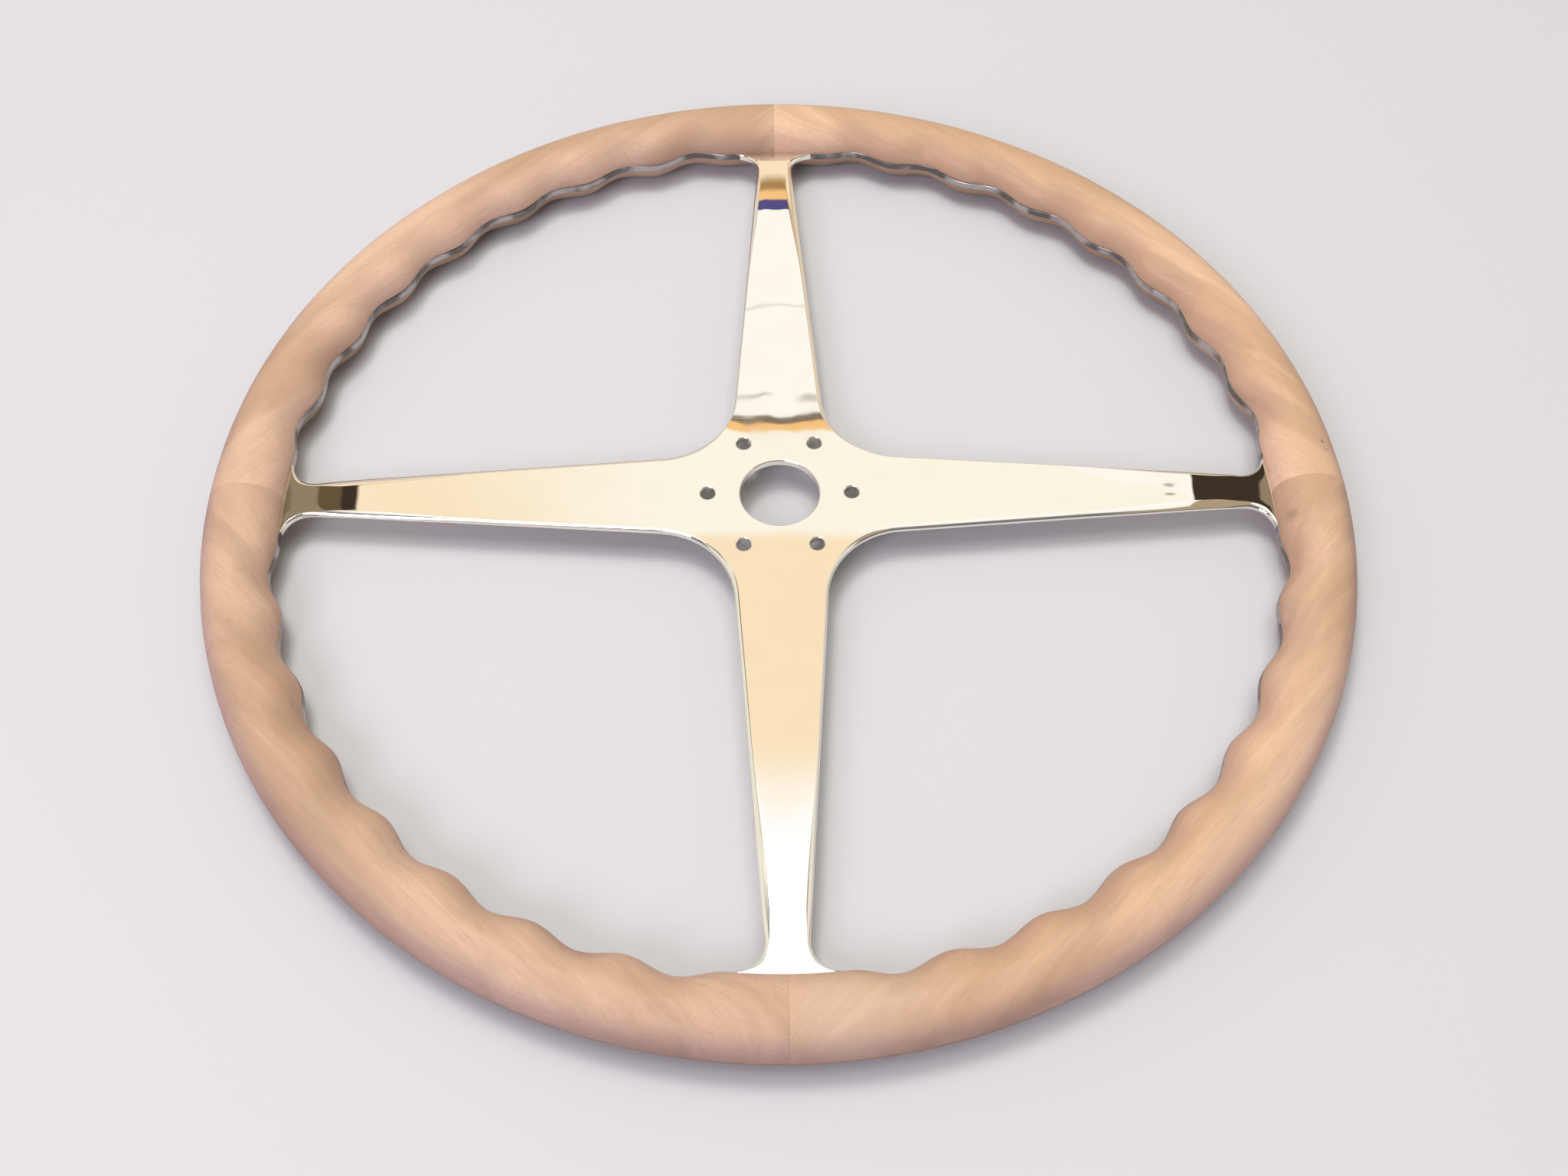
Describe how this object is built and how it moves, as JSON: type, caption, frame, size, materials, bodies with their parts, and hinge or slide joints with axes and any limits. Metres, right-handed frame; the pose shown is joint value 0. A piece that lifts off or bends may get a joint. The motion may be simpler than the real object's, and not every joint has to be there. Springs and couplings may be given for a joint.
{
  "type": "steering wheel",
  "caption": "Wood-rimmed car steering wheel with finger hollows inside the rim, on a flat polished metal spider with tapered spokes.",
  "frame": {"origin": "on the wheel's axis, in the plane its back rests on", "axes": "+Z along the wheel's axis towards the driver, +Y to the top of the wheel (12 o'clock), +X to 3 o'clock"},
  "size_m": [0.43, 0.43, 0.024],
  "materials": {
    "polished_metal": "mirror polished, slightly warm",
    "walnut": "sanded bare wood, satin",
    "brass": "satin"
  },
  "bodies": {
    "root": {"spider": "polished_metal", "rim_front_upper_right": "walnut", "rim_front_upper_left": "walnut", "rim_front_lower_left": "walnut", "rim_front_lower_right": "walnut", "rim_back_top": "walnut", "rim_back_left": "walnut", "rim_back_bottom": "walnut", "rim_back_right": "walnut", "rim_screw_01": "brass", "rim_screw_02": "brass", "rim_screw_03": "brass", "rim_screw_04": "brass", "rim_screw_05": "brass", "rim_screw_06": "brass", "rim_screw_07": "brass", "rim_screw_08": "brass", "rim_screw_09": "brass", "rim_screw_10": "brass", "rim_screw_11": "brass", "rim_screw_12": "brass", "rim_screw_13": "brass", "rim_screw_14": "brass", "rim_screw_15": "brass", "rim_screw_16": "brass", "rim_screw_17": "brass", "rim_screw_18": "brass", "rim_screw_19": "brass", "rim_screw_20": "brass", "rim_screw_21": "brass", "rim_screw_22": "brass", "rim_screw_23": "brass", "rim_screw_24": "brass"}
  },
  "joints": []
}
